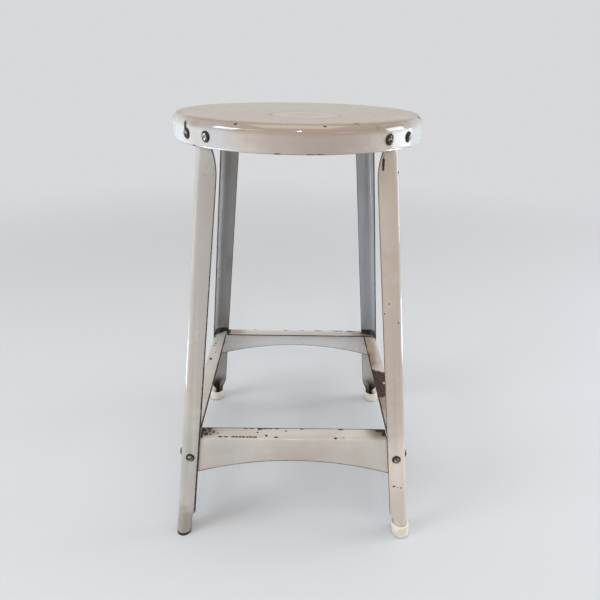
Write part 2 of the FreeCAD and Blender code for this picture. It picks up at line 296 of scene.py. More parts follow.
def pick_edges(piece, wanted):
    """Opens a piece in edit mode with just the edges selected whose two ends are wanted."""
    make_active(piece)
    mesh = piece.data
    for parts in (mesh.vertices, mesh.edges, mesh.polygons):
        parts.foreach_set("select", [False] * len(parts))
    for edge in mesh.edges:
        edge.select = all(wanted(mesh.vertices[i].co) for i in edge.vertices)
    bpy.context.tool_settings.mesh_select_mode = (False, True, False)
    bpy.ops.object.mode_set(mode="EDIT")


def smooth(piece, degrees):
    make_active(piece)
    bpy.ops.object.shade_smooth_by_angle(angle=math.radians(degrees))


print("modelling helpers ready")

# %% [markdown]
# ## The seat pan
# The seat is one round pressing: a shallow dish for sitting, a flat crest, a rounded shoulder, a
# straight skirt and an edge rolled inwards so that it doesn't cut. It could be a spun profile.
# Extruding ring after ring from a disc is as quick, and each ring can be seen as it is made. The
# shoulder starts as a sharp corner and is bevelled to its 9 mm radius, because a bevel of ten
# segments on a round edge gives just the curve that a press tool leaves. Solidify gives the sheet
# its 1.2 mm at the end.

# %% Sizes of the seat
seat_radius = 144 * mm
seat_height = 526 * mm
seat_sheet = 1.2 * mm
seat_sides = 192
rim_bottom = 498.5 * mm
shoulder_radius = 9 * mm
shoulder_segments = 10
crest_width = 2 * mm
dish_depth = 2 * mm
dish_height = seat_height - dish_depth
dish_slope_width = 40 * mm
rim_roll_radius = 4 * mm
rim_roll_angle = math.radians(45)
dish_flat_radius = seat_radius - shoulder_radius - crest_width - dish_slope_width
roll_start = rim_bottom + rim_roll_radius * math.sin(rim_roll_angle)
print("seat", 2 * seat_radius, "m across,", seat_height, "m high")

# %% Rings of the pan
pan_rings = [(dish_flat_radius, dish_height)]
slope_steps = 8
for step in range(1, slope_steps + 1):
    share = step / slope_steps
    climb = 2 * share ** 2 if share < 0.5 else 1 - 2 * (1 - share) ** 2
    pan_rings.append((dish_flat_radius + dish_slope_width * share,
                      seat_height - dish_depth * (1 - climb)))
pan_rings.append((seat_radius, seat_height))
skirt_start = seat_height - shoulder_radius - 1 * mm
skirt_steps = 3
for step in range(skirt_steps + 1):
    pan_rings.append((seat_radius, skirt_start + (roll_start - skirt_start) * step / skirt_steps))
roll_steps = 4
for step in range(1, roll_steps + 1):
    angle = rim_roll_angle * step / roll_steps
    pan_rings.append((seat_radius - rim_roll_radius * (1 - math.cos(angle)),
                      roll_start - rim_roll_radius * math.sin(angle)))
print("rings", len(pan_rings))

# %% Extrude the pan
radius, height = 0.3 * dish_flat_radius, dish_height
middle_ring = [(0.6 * dish_flat_radius, dish_height)]
bpy.ops.object.select_all(action="DESELECT")
bpy.ops.mesh.primitive_circle_add(vertices=seat_sides, radius=radius, fill_type="TRIFAN",
                                  location=(0, 0, height))
seat = bpy.context.object
seat.name = "seat_pressing"
bpy.ops.object.transform_apply(location=True, rotation=False, scale=False)
pick_edges(seat, lambda co: co.xy.length > radius * 0.99)
for next_radius, next_height in middle_ring + pan_rings:
    bpy.ops.mesh.extrude_edges_move(
        TRANSFORM_OT_translate={"value": (0, 0, next_height - height)})
    share = next_radius / radius
    bpy.ops.transform.resize(value=(share, share, 1), center_override=(0, 0, 0))
    radius, height = next_radius, next_height
bpy.ops.mesh.select_all(action="SELECT")
bpy.ops.mesh.normals_make_consistent(inside=False)
pick_edges(seat, lambda co: co.xy.length > seat_radius - mm and co.z > seat_height - 0.1 * mm)
bpy.ops.mesh.bevel(offset=shoulder_radius, segments=shoulder_segments, profile=0.5,
                   affect="EDGES")
bpy.ops.object.mode_set(mode="OBJECT")
print("pan faces", len(seat.data.polygons))

# %% [markdown]
# ### Dents
# Nothing that has been sat on for fifty years is still true. A displace of a few tenths of a
# millimetre, always inwards, makes the reflections on the shoulder wander as they do on the real
# one. It comes before the sheet gets its thickness, so the two faces stay parallel.

# %% Dents, thickness and edge
dent_depth = 0.5 * mm
pan_edge_rounding = 0.3 * mm
dents = bpy.data.textures.new("pan_dents", "CLOUDS")
dents.noise_scale = 0.07
dents.noise_depth = 1
finish_with(seat, "DISPLACE", texture=dents, texture_coords="LOCAL", strength=dent_depth,
            mid_level=1.0)
finish_with(seat, "SOLIDIFY", thickness=seat_sheet, offset=-1.0, use_even_offset=True)
round_edges(seat, pan_edge_rounding)
smooth(seat, 35)
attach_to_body(seat, "root")
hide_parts("seat_pan")
skirt = [p for p in seat.data.polygons if p.center.xy.length > seat_radius - 0.6 * mm]
print("pan faces", len(seat.data.polygons), "skirt faces that point outwards",
      sum(p.normal.xy.dot(p.center.xy) > 0 for p in skirt), "of", len(skirt))

# %% [markdown]
# ## Legs and footrests
# These are folded strips whose section changes from tube to angle to flat strap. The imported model
# already has that shape exactly, and building it again by hand could only lose it. What it lacks
# is the slight rounding that shears and paint leave on a sheet's edges, which catches the light.
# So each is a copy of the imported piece, with its loose triangles merged, its flat areas cleaned,
# and every sharp edge bevelled by a third of a millimetre. Paint holds badly on a cut face, so an
# attribute first marks the faces that the shears left, for the enamel to read.

# %% Soften the folded pieces
corners = {"front_right": -45, "rear_right": 45, "rear_left": 135, "front_left": 225}
sides = ("front", "right", "rear", "left")
folded = [corner + "_leg" for corner in corners] + [side + "_stretcher" for side in sides]
edge_rounding = 0.35 * mm
sharp_turn = math.cos(math.radians(50))
leg_sheet = 1.6 * mm
stretcher_sheet = 1.2 * mm
cut_face_margin = 1.3


def mark_sheared(piece, sheet):
    """Marks the cut faces: the patches between sharp edges that are hardly wider than the sheet."""
    mesh = piece.data
    sides_of = {}
    for face in mesh.polygons:
        for key in face.edge_keys:
            sides_of.setdefault(key, []).append(face)
    patch_of = {}
    rims, areas = [], []
    for first in mesh.polygons:
        if first.index in patch_of:
            continue
        patch, rim, area, waiting = len(rims), 0, 0, [first]
        patch_of[first.index] = patch
        while waiting:
            face = waiting.pop()
            area += face.area
            for key in face.edge_keys:
                start, end = (mesh.vertices[i].co for i in key)
                for other in sides_of[key]:
                    if other is face:
                        continue
                    if face.normal.dot(other.normal) < sharp_turn:
                        rim += (start - end).length
                    elif other.index not in patch_of:
                        patch_of[other.index] = patch
                        waiting.append(other)
        rims.append(rim)
        areas.append(area)
    sheared = mesh.attributes.new("sheared", "FLOAT", "FACE")
    for face in mesh.polygons:
        patch = patch_of[face.index]
        narrow = 2 * areas[patch] < cut_face_margin * sheet * rims[patch]
        sheared.data[face.index].value = float(narrow)


def soften(node):
    """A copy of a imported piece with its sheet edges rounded, which stands for it."""
    piece = nodes[node].copy()
    piece.data = nodes[node].data.copy()
    piece.data.materials.clear()
    piece.name = node + "_sheet"
    bpy.context.scene.collection.objects.link(piece)
    make_active(piece)
    bpy.ops.object.mode_set(mode="EDIT")
    bpy.ops.mesh.select_all(action="SELECT")
    bpy.ops.mesh.remove_doubles(threshold=0.001 * mm)
    bpy.ops.mesh.dissolve_limited(angle_limit=math.radians(0.3))
    bpy.ops.object.mode_set(mode="OBJECT")
    mark_sheared(piece, leg_sheet if node.endswith("leg") else stretcher_sheet)
    round_edges(piece, edge_rounding)
    smooth(piece, 30)
    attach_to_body(piece, "root")
    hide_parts(node)
    return piece


sheets = {node: soften(node) for node in folded}
for node, piece in sheets.items():
    print(node, len(piece.data.polygons), "faces, cut faces",
          sum(face.value > 0.5 for face in piece.data.attributes["sheared"].data))

# %% [markdown]
# ## Slotted screws
# Sixteen domed screws with a plain slot hold the stool together. Each is modelled once as it
# would be turned: a filled circle is extruded ring by ring up the thread, out under the head and
# over the dome. The slot is then milled with a Boolean, and its edges are eased. A helix would
# give a truer thread, but it leaves open ends, and here only its last turns show, inside the
# stool. Before the copies are placed, every point keeps its place on the screw in an attribute, so
# that rust can follow the head wherever the screw points.

# %% Sizes of the fasteners
head_radius = 5.5 * mm
head_height = 2.8 * mm
head_edge = 0.5 * mm
slot_width = 1.2 * mm
slot_depth = 1.3 * mm
shank_radius = 2.4 * mm
thread_depth = 0.3 * mm
thread_pitch = 0.8 * mm
shank_chamfer = 0.5 * mm
head_chamfer = 0.15 * mm
slot_edge = 0.12 * mm
screw_sides = 40
nut_thickness = 3.2 * mm
screw_beyond_nut = 1.8 * mm
leg_grip = leg_sheet + stretcher_sheet
rim_grip = seat_sheet + leg_sheet + 0.07 * mm
print("screw head", 2 * head_radius, "m across")

# %% Turn and slot a screw
def stack_rings(name, sides, rings, lean=0.0):
    """A round solid: a filled circle, extruded and resized through rings of radius and height."""
    radius, height = rings[0]
    bpy.ops.object.select_all(action="DESELECT")
    bpy.ops.mesh.primitive_circle_add(vertices=sides, radius=radius, fill_type="NGON",
                                      location=(lean * height, 0, height))
    piece = bpy.context.object
    piece.name = name
    bpy.ops.object.transform_apply(location=True, rotation=False, scale=False)
    bpy.context.tool_settings.mesh_select_mode = (False, False, True)
    bpy.ops.object.mode_set(mode="EDIT")
    bpy.ops.mesh.select_all(action="SELECT")
    for next_radius, next_height in rings[1:]:
        climb, share = next_height - height, next_radius / radius
        bpy.ops.mesh.extrude_region_move(
            TRANSFORM_OT_translate={"value": (lean * climb, 0, climb)})
        bpy.ops.transform.resize(value=(share, share, 1),
                                 center_override=(lean * next_height, 0, next_height))
        radius, height = next_radius, next_height
    bpy.ops.mesh.select_all(action="SELECT")
    bpy.ops.mesh.normals_make_consistent(inside=False)
    bpy.ops.object.mode_set(mode="OBJECT")
    return piece


def screw_rings(grip):
    """The rings of a screw, from its tip to near the top of its dome. The head sits at zero."""
    length = grip + nut_thickness + screw_beyond_nut
    rings = [(shank_radius - shank_chamfer, -length)]
    height = shank_chamfer - length
    while height + thread_pitch < -grip:
        rings.append((shank_radius, height))
        rings.append((shank_radius - thread_depth, height + thread_pitch / 2))
        height += thread_pitch
    rings += [(shank_radius, height), (shank_radius, 0), (head_radius - head_chamfer, 0),
              (head_radius, head_chamfer), (head_radius, head_edge)]
    dome_rise = head_height - head_edge
    dome_radius = (head_radius ** 2 + dome_rise ** 2) / (2 * dome_rise)
    dome_turn = math.asin(head_radius / dome_radius)
    for share in (0.85, 0.7, 0.55, 0.4, 0.25, 0.1):
        angle = dome_turn * share
        rings.append((dome_radius * math.sin(angle),
                      head_height - dome_radius * (1 - math.cos(angle))))
    return rings


def make_screw(name, grip):
    screw = stack_rings(name, screw_sides, screw_rings(grip))
    bpy.ops.object.select_all(action="DESELECT")
    bpy.ops.mesh.primitive_cube_add(size=1, scale=(3 * head_radius, slot_width, 2 * slot_depth),
                                    location=(0, 0, head_height))
    mill = bpy.context.object
    bpy.ops.object.transform_apply()
    finish_with(screw, "BOOLEAN", operation="DIFFERENCE", object=mill, solver="EXACT")
    bpy.data.objects.remove(mill)
    round_edges(screw, slot_edge)
    smooth(screw, 35)
    on_screw = screw.data.attributes.new("on_screw", "FLOAT_VECTOR", "POINT")
    for vertex in screw.data.vertices:
        on_screw.data[vertex.index].vector = vertex.co / head_radius
    return screw


screw_patterns = {"rim": make_screw("rim_screw", rim_grip),
                  "stretcher": make_screw("leg_screw", leg_grip)}
print({kind: len(screw.data.polygons) for kind, screw in screw_patterns.items()})

# %% [markdown]
# ### Placing the screws
# Two screws go through the rim at the top of each leg, and two through each leg's flanges into
# the ends of the footrests. Each copy has its own mesh and is turned from upright to its
# direction, with its slot left as the screwdriver left it. The two of a corner are joined, since
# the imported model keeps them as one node.

# %% Where the screws go
rim_screw_height = seat_height - 16 * mm
rim_screw_spacing = 32.4 * mm
leg_screw_height = 126 * mm
leg_screw_inset = 12.5 * mm
foot_corner = 156.5 * mm
leg_slope = 0.1080
rim_slots = {"front_left": (35, -40), "front_right": (-35, 50),
             "rear_right": (10, 70), "rear_left": (-65, 20)}
leg_slots = {"front_left": (25, -50), "front_right": (-20, 60),
             "rear_right": (80, -15), "rear_left": (5, 40)}


def rim_screw_places():
    """The two rim screws of a corner on the +X axis, as points and directions."""
    swing = math.asin(rim_screw_spacing / 2 / seat_radius)
    for angle in (-swing, swing):
        outward = Vector((math.cos(angle), math.sin(angle), 0))
        yield outward * seat_radius + Vector((0, 0, rim_screw_height)), outward


def leg_screw_places():
    """The two screws of the front right leg, turned back so that its corner is on the +X axis."""
    corner = foot_corner - leg_slope * leg_screw_height
    along = corner - leg_screw_inset
    outward = Vector((0, -1, leg_slope)).normalized()
    for sign, turn in ((1, 45), (-1, 135)):
        spin = Matrix.Rotation(math.radians(turn), 4, "Z")
        yield spin @ Vector((sign * along, -corner, leg_screw_height)), spin @ outward


def place_pair(pattern, name, places, slots, corner_turn):
    """Copies a screw to two places, joins the copies, and returns the pair."""
    pair = []
    for (point, outward), slot in zip(places, slots):
        copy = pattern.copy()
        copy.data = pattern.data.copy()
        bpy.context.scene.collection.objects.link(copy)
        aim = Vector((0, 0, 1)).rotation_difference(outward).to_matrix().to_4x4()
        copy.data.transform(Matrix.Rotation(math.radians(corner_turn), 4, "Z")
                            @ Matrix.Translation(point) @ aim
                            @ Matrix.Rotation(math.radians(slot), 4, "Z"))
        pair.append(copy)
    make_active(pair[0])
    pair[1].select_set(True)
    bpy.ops.object.join()
    pair[0].name = name
    return pair[0]


print("screws at", rim_screw_height, "and", leg_screw_height, "m")

# %% Place the screws
screws = []
for corner, turn in corners.items():
    for kind, places, slots in (("rim", rim_screw_places(), rim_slots[corner]),
                                ("stretcher", leg_screw_places(), leg_slots[corner])):
        node = corner + "_" + kind + "_screws"
        pair = place_pair(screw_patterns[kind], node + "_turned", places, slots, turn)
        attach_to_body(pair, "root")
        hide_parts(node)
        screws.append(pair)
        low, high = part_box(node)
        points = [v.co for v in pair.data.vertices]
        gap = max(abs(min(p[i] for p in points) - low[i]) for i in range(3))
        print(node, "differs from its solid by", round(gap / mm, 3), "mm")
for pattern in screw_patterns.values():
    bpy.data.objects.remove(pattern)

# %% [markdown]
# ## Foot caps
# Three feet still wear an ivory cap, pushed over the curled tube. It leans with its leg, so its
# rings are extruded upwards with a sideways step, then in over the lip and down into the bore.
# The lip and the heel are rounded by a bevel, as they are in a mould, and two shallow grooves in
# the sole give it the grip that such caps have.

# %% Mould the caps
cap_height = 18 * mm
cap_wall = 2.2 * mm
cap_floor = 3 * mm
cap_edge = 0.8 * mm
cap_rounding = 0.45 * mm
groove_depth = 0.6 * mm
mouth_chamfer = 0.1 * mm
cap_sides = 64
tube_radius = 9.5 * mm
bore_radius = tube_radius + 0.05 * mm
cap_radius = bore_radius + cap_wall
leg_corner_radius = 7.5 * mm
lean = -leg_slope * math.sqrt(2)
cap_middle = foot_corner * math.sqrt(2) - leg_corner_radius * (math.sqrt(2) - 1) - tube_radius


def make_cap(corner, turn):
    """The cap of one foot, moulded on the +X axis and then turned to its corner."""
    rings = []
    for inner, outer in ((0.30, 0.46), (0.62, 0.78)):
        rings += [(inner * cap_radius, 0), ((inner + 0.02) * cap_radius, groove_depth),
                  ((outer - 0.02) * cap_radius, groove_depth), (outer * cap_radius, 0)]
    rings += [(cap_radius - cap_edge, 0), (cap_radius, cap_edge),
              (cap_radius, cap_height - cap_edge), (cap_radius - cap_edge, cap_height),
              (bore_radius + mouth_chamfer, cap_height),
              (bore_radius, cap_height - mouth_chamfer), (bore_radius, cap_floor)]
    cap = stack_rings(corner + "_foot_cap_moulded", cap_sides, rings, lean)
    round_edges(cap, cap_rounding, 3, 35)
    cap.data.transform(Matrix.Rotation(math.radians(turn), 4, "Z")
                       @ Matrix.Translation((cap_middle, 0, 0)))
    smooth(cap, 40)
    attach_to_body(cap, "root")
    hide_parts(corner + "_foot_cap")
    return cap


caps = [make_cap(corner, corners[corner]) for corner in ("front_right", "rear_right", "rear_left")]
for cap in caps:
    print(cap.name, len(cap.data.polygons), "faces")

# %% [markdown]
# ## Worn enamel
# All the folded steel wears the same sprayed enamel: glossy, yellowed and grubby, with brown rust
# where it chipped. A painter would stipple this by hand. Nodes can do it from places alone: cloudy
# noise for the grubbiness, and small ragged ellipsoids for the marks that sit in known places. One
# node group draws such an ellipsoid, so a piece needs only a list of centres and radii.

# %% The ragged mark
mark_group = bpy.data.node_groups.new("ragged_mark", "ShaderNodeTree")
for socket, kind in (("Place", "Vector"), ("Centre", "Vector"), ("Stretch", "Vector"),
                     ("Ragged", "Float"), ("Amount", "Float")):
    mark_group.interface.new_socket(name=socket, in_out="INPUT", socket_type="NodeSocket" + kind)
mark_group.interface.new_socket(name="Mask", in_out="OUTPUT", socket_type="NodeSocketFloat")
given = mark_group.nodes.new("NodeGroupInput").outputs
away = radii_away(given["Place"], given["Centre"], given["Stretch"])
away = plus(away, times(given["Ragged"], given["Amount"]))
mark_output = mark_group.nodes.new("NodeGroupOutput")
mark_group.links.new(rise(away, 1.1, 0.9), mark_output.inputs["Mask"])
print("mark group", len(mark_group.nodes), "nodes")


def marks_mask(tree, place, ragged, marks):
    """One mask for a list of marks, each a centre and three radii. The small ones are rougher."""
    whole = None
    for mark in marks:
        centre, radii = mark[:3], mark[3:]
        made = tree.nodes.new("ShaderNodeGroup")
        made.node_tree = mark_group
        tree.links.new(place, made.inputs["Place"])
        tree.links.new(ragged, made.inputs["Ragged"])
        made.inputs["Centre"].default_value = [value * mm for value in centre]
        made.inputs["Stretch"].default_value = [1 / (radius * mm) for radius in radii]
        made.inputs["Amount"].default_value = min(1.0, 2.2 / sorted(radii)[1])
        whole = made.outputs[0] if whole is None else maths("MAXIMUM", whole, made.outputs[0])
    return whole


# %% Colours of the enamel
enamel_clean = (0.585, 0.530, 0.480, 1)
enamel_warm = (0.535, 0.468, 0.400, 1)
seat_film = (0.398, 0.330, 0.262, 1)
seat_olive = (0.398, 0.372, 0.278, 1)
crest_band = (0.310, 0.240, 0.185, 1)
grime_brown = (0.240, 0.165, 0.105, 1)
inner_shadow_and_grime = (0.030, 0.026, 0.022, 1)
crevice_shadow_and_grime = (0.095, 0.068, 0.048, 1)
rust_dark = (0.012, 0.007, 0.005, 1)
rust_brown = (0.112, 0.044, 0.016, 1)
print("colours ready")

# %% [markdown]
# ### Layers of the enamel
# Dirt came in layers, so it is laid in layers here. Soft tints come first, where a piece is warmer,
# cooler or dirtier than the rest; a few of them are painted reflection and painted light. Then
# comes painted shade on the inner faces of the legs, which see little light, darkened further by
# grime and painted shadow at the floor and at the footrests. Last come painted shade with grime in
# the crevices, and loose specks.

# %% Tints, inner faces, crevice shade and grime
tint_waver = 0.6
footrest_joint = 153 * mm
crevice_reach = 5 * mm


def lay_tints(colour, place, middle, tints):
    """Lays soft tints on a colour. Each has a centre, three radii, its own colour and a share."""
    for *numbers, tint, share in tints:
        centre, stretch = [v * mm for v in numbers[:3]], [1 / (v * mm) for v in numbers[3:]]
        away = radii_away(place, centre, stretch)
        away = rise(plus(away, waver(middle, tint_waver)), 1.05, 0.2)
        colour = blend(times(away, share), colour, (*tint, 1))
    return colour


def shade_inside(colour, place, normal, middle, inside):
    """Paints shade on inner faces, and grime with painted shadow at the floor and footrests."""
    inside_tone, side_share, front_share, low_share = inside
    outward = vectors("NORMALIZE", vectors("MULTIPLY", place, (1, 1, 0)))
    facing = vectors("DOT_PRODUCT", normal, outward)
    height = axis(place, "Z")
    within = rise(facing, -0.25, -0.6)
    shade = ramp(axis(normal, "Y"), 0.0, -1.0, side_share, front_share)
    shade = times(shade, ramp(height, 90 * mm, 145 * mm, low_share, 1.0))
    colour = blend(times(within, shade), colour, inside_tone)
    # Low down and at the footrest joint the inner faces go dark: grime, and painted shadow.
    low = rise(plus(height, times(middle, 20 * mm)), 64 * mm, 34 * mm)
    off_joint = plus(height, times(middle, 6 * mm))
    off_joint = maths("ABSOLUTE", maths("SUBTRACT", off_joint, footrest_joint))
    dark = maths("MAXIMUM", low, rise(off_joint, 7.5 * mm, 5.5 * mm))
    return blend(times(within, dark, 0.93), colour, inner_shadow_and_grime)


def lay_crevice_shadow_and_specks(tree, colour, place, middle):
    """Paints shade with some grime into crevices, and scatters brown specks."""
    # Ambient occlusion finds the crevices, and the darkening there is painted shade.
    crevice = add(tree, "AmbientOcclusion", {"Distance": crevice_reach}, output="AO", samples=6)
    crevice = rise(plus(crevice, times(middle, 0.3)), 0.80, 0.45)
    colour = blend(times(crevice, 0.85), colour, crevice_shadow_and_grime)
    specks = rise(noise(place, 260, 2, 0.5), 0.715, 0.745)
    specks = times(specks, rise(middle, 0.50, 0.62), 0.75)
    return blend(specks, colour, grime_brown)


# %% [markdown]
# ### Bare steel
# Paint goes first from corners and cut faces. The angle between the true surface and one that a
# Bevel node rounds finds the corners, and the attribute from the shears finds the cut faces. Along
# the free edge of a footrest the paint came off as a line, which is drawn by its distance from
# that edge. A high edge wear takes paint from more of each.

# %% Worn edges
edge_reach = 2.2 * mm


def bare_edges(tree, normal, middle, fine, sheared, edge_wear, kept):
    """Where corners and cut faces are bare."""
    rounded = add(tree, "Bevel", {"Radius": edge_reach}, samples=8)
    corner = maths("SUBTRACT", 1.0, vectors("DOT_PRODUCT", rounded, normal))
    worn = plus(plus(corner, waver(middle, 0.16)), waver(fine, 0.08))
    start = 0.10 - 0.11 * edge_wear
    bare = times(rise(worn, start, start + 0.03), rise(corner, 0.008, 0.020))
    cut = times(sheared, rise(middle, kept + 0.07, kept - 0.05), 0.92)
    return maths("MAXIMUM", bare, cut)


def bare_line(place, middle, fine, kept, strip):
    """The bare line along a free edge, which leans in by a slope as it climbs."""
    width, nearer, slope, edge_at_floor = strip
    size = vectors("ABSOLUTE", place)
    off_edge = maths(nearer, axis(size, "X"), axis(size, "Y"))
    off_edge = plus(off_edge, times(axis(size, "Z"), slope))
    off_edge = plus(off_edge, waver(fine, 2 * mm))
    end = edge_at_floor + width
    line = rise(off_edge, end + 0.3 * mm, end - 0.3 * mm)
    return times(line, rise(middle, kept - 0.02, kept - 0.16))


print("layers ready")

# %% [markdown]
# ### The dirt on the seat
# The top carries a film that hands and clothes never rubbed off the rest, an olive tint towards
# the back, the brown ring that grime leaves where the shoulder starts to fall away, and the print
# of something round that once stood on it. All are drawn from the distance to a centre, and so
# is the dust on the underside.

# %% Dirt of the seat top
film_radius = 139 * mm
film_strength = 0.95
print_centre = (8 * mm, -25 * mm, dish_height)
print_radius = 39.7 * mm
print_inside = (0.51, 0.450, 0.335, 1)
print_ring = (0.20, 0.17, 0.13, 1)


def seat_dirt(place, normal, colour, coarse, middle):
    """Lays the dirt over the enamel of the seat, and returns the mask of its top as well."""
    reach = vectors("LENGTH", vectors("MULTIPLY", place, (1, 1, 0)))
    wander = waver(middle, 2.5 * mm)
    reach = plus(reach, wander)
    depth, height = axis(place, "Y"), axis(place, "Z")
    up = axis(normal, "Z")
    upwards = rise(up, 0.0, 0.3)
    top = times(rise(reach, film_radius + 0.6 * mm, film_radius - 0.6 * mm), upwards)

    under = times(rise(reach, seat_radius, film_radius), rise(up, -0.3, -0.8))
    dusty = times(under, rise(plus(coarse, middle), 0.75, 1.35), 0.6)
    colour = blend(dusty, colour, grime_brown)

    back = rise(plus(depth, times(coarse, 0.12)), 0.04, 0.16)
    film = blend(back, seat_film, seat_olive)
    film = blend(times(rise(middle, 0.45, 0.7), 0.25), film, grime_brown)
    colour = blend(times(top, film_strength), colour, film)

    print_reach = vectors("LENGTH", vectors("SUBTRACT", place, print_centre))
    print_reach = plus(print_reach, times(wander, 0.8))
    off_ring = maths("ABSOLUTE", maths("SUBTRACT", print_reach, print_radius))
    ring = times(rise(off_ring, 4.2 * mm, 1.2 * mm), rise(coarse, 0.25, 0.55))
    inside = times(rise(print_reach, 40 * mm, 36 * mm), rise(print_reach, 8 * mm, 30 * mm))
    colour = blend(times(inside, top, 0.45), colour, print_inside)
    colour = blend(times(ring, top, 0.75), colour, print_ring)

    band = times(rise(reach, 125 * mm, 138 * mm),
                 rise(height, seat_height - 12 * mm, seat_height - 6 * mm))
    front = ramp(depth, 0.02, -0.10, 0.35, 0.95)
    colour = blend(times(band, front), colour, crest_band)

    off_edge = maths("ABSOLUTE", maths("SUBTRACT", reach, film_radius - 0.5 * mm))
    edge_ring = times(rise(off_edge, 2.6 * mm, 0.2 * mm), upwards, rise(coarse, 0.25, 0.50), 0.6)
    return blend(edge_ring, colour, grime_brown), top


print("seat dirt ready")

# %% [markdown]
# ### Where the marks are
# Rust is a list of ellipsoids for each piece, each a centre and three radii in millimetres. Most
# lie at one height, on top of a footrest; two at the rear legs are painted shadow in the corners.
# A tint adds its colour and how thickly it is laid; a few tints are painted reflection and painted
# light. Inner faces have a tone of painted shade, and its share at the sides, at the front and low
# down. A bare strip has a width, the way to find the nearer edge, how far that edge leans in, and
# its place at the floor.

# %% Rust, and painted shadow in two corners
top = 153.8


def on_top(*marks):
    """Marks on top of a footrest, each given by its X and Y and three radii."""
    return [(x, y, top, *radii) for x, y, *radii in marks]


front_row = on_top(*((x, -135.4, 2.7, 1.3, 1.8)
                     for x in (-92, -85, -76, -71.5, -67, -63, -58, -54, -49, -22)))
rear_row = on_top(*((x, -118.8, 3.2, 2.0, 1.8) for x in (-62, -54, -45, -36, -30, -22, 11, 60)))
rust_and_corner_shadow_marks = {
    "seat": [
        (-114.2, -87.5, 516.5, 2.4, 2.4, 6.5), (-58.4, -128.3, 524, 1.4, 1.4, 2.2),
        (24.7, -138.3, 523.8, 1.6, 1.2, 1), (55, -125.5, 525.8, 5, 1.2, 1),
        (132, -47, 524.6, 1.8, 4, 1.6), (-19, -142.9, 498.6, 4, 2.5, 1.4),
        (12, -143.4, 498.6, 4.2, 2.5, 1.3), (22, -142.2, 498.6, 4.2, 2.5, 1.2),
        (-104, -99, 499, 3, 3, 1.4)],
    "front_stretcher": front_row + rear_row + on_top(
        (108, -118.3, 12, 1.8, 3), (115, -121.5, 5.5, 3.6, 3), (109, -122, 4.6, 2.6, 3),
        (114, -128, 2.6, 3.8, 3), (105, -120.5, 1.6, 1.2, 3), (118, -129, 1.6, 12, 3),
        (-115.5, -127, 1.6, 11, 3), (-101.8, -126.9, 1.5, 1.8, 2), (-105, -131, 1.8, 1, 2),
        (-107, -125, 1.2, 2.4, 2), (-96, -129, 1, 1, 2), (-110.5, -130.5, 2.8, 2.6, 2),
        (-108, -120.5, 3.4, 1.8, 2), (-113, -124, 2.2, 2.6, 2), (-42.9, -120.2, 3.4, 2.2, 2),
        (-46, -127, 1.2, 1.2, 2), (-10, -124, 1.2, 1.2, 2), (-34.5, -132.7, 1.8, 2.2, 2),
        (52.6, -135.9, 2.4, 1.5, 2), (59, -135.6, 1, 0.8, 2), (63, -135.4, 1, 0.8, 2)),
    "left_stretcher": on_top(
        (-135.9, 111.7, 1.4, 2.6, 2), (-131.8, 89.1, 1.6, 2.4, 2), (-133, 82.1, 1.3, 2, 2),
        (-132.5, 41.3, 1.8, 4, 2), (-128, 62, 1, 1.6, 2), (-130, 136, 14, 4, 3)),
    "right_stretcher": on_top(
        (118, 0, 10, 19, 5), (126, -3, 12, 17, 5), (134, -8, 10, 19, 5), (128, -16, 18, 22, 5),
        (122, -32, 18, 20, 5), (124, 35, 3, 0.8, 2), (122, 30, 2.2, 1, 2), (119.3, 25, 0.8, 5, 2),
        (136, 122, 7, 9, 3), (121, 58, 1.2, 3, 2), (119.5, 40, 1, 4, 2)),
    "rear_stretcher": on_top(
        (-115.5, 129, 3, 12, 3), (124, 119.2, 13, 2, 3), (128, 132, 12, 9, 4),
        (40, 136.6, 8, 2, 2), (75, 136.6, 12, 2.2, 2), (-16, 136.8, 5, 1.8, 2),
        (12, 136.8, 4, 1.6, 2), (96, 135, 8, 1.8, 2),
        # The two marks in the list that follows, in the corners at the rear legs, are painted
        # shadow, not rust.
        (-70, 136.8, 3, 1.6, 2)) + [(-128, 137.5, 150, 15, 4, 5.5), (130, 138, 149, 11, 3, 7)],
    "front_right_leg": [
        (86.9, -105.3, 486.5, 1.5, 3, 5.5), (87.4, -105.3, 480.3, 1.2, 3, 2),
        (103.9, -101.5, 476.4, 1.3, 2.5, 1.3), (105, -120, 335, 0.9, 3, 1),
        (117, -122, 312, 1.1, 3, 1), (100.7, -121, 323, 0.8, 3, 0.9),
        (131, -148, 84.3, 1.8, 3, 1.1), (139.8, -148, 82, 1.5, 3, 0.8),
        (135.4, -148, 83, 0.7, 3, 0.6), (151.5, -141, 58, 2, 5, 3)],
    "front_left_leg": [(-149, -149, -0.5, 20, 20, 5.3), (-117.2, -117.5, 152, 2, 14, 6)]}
paint_in_rust = {"right_stretcher": on_top((132.6, -17.5, 2.6, 2.4, 3))}
print("rust marks", sum(len(marks) for marks in rust_and_corner_shadow_marks.values()))

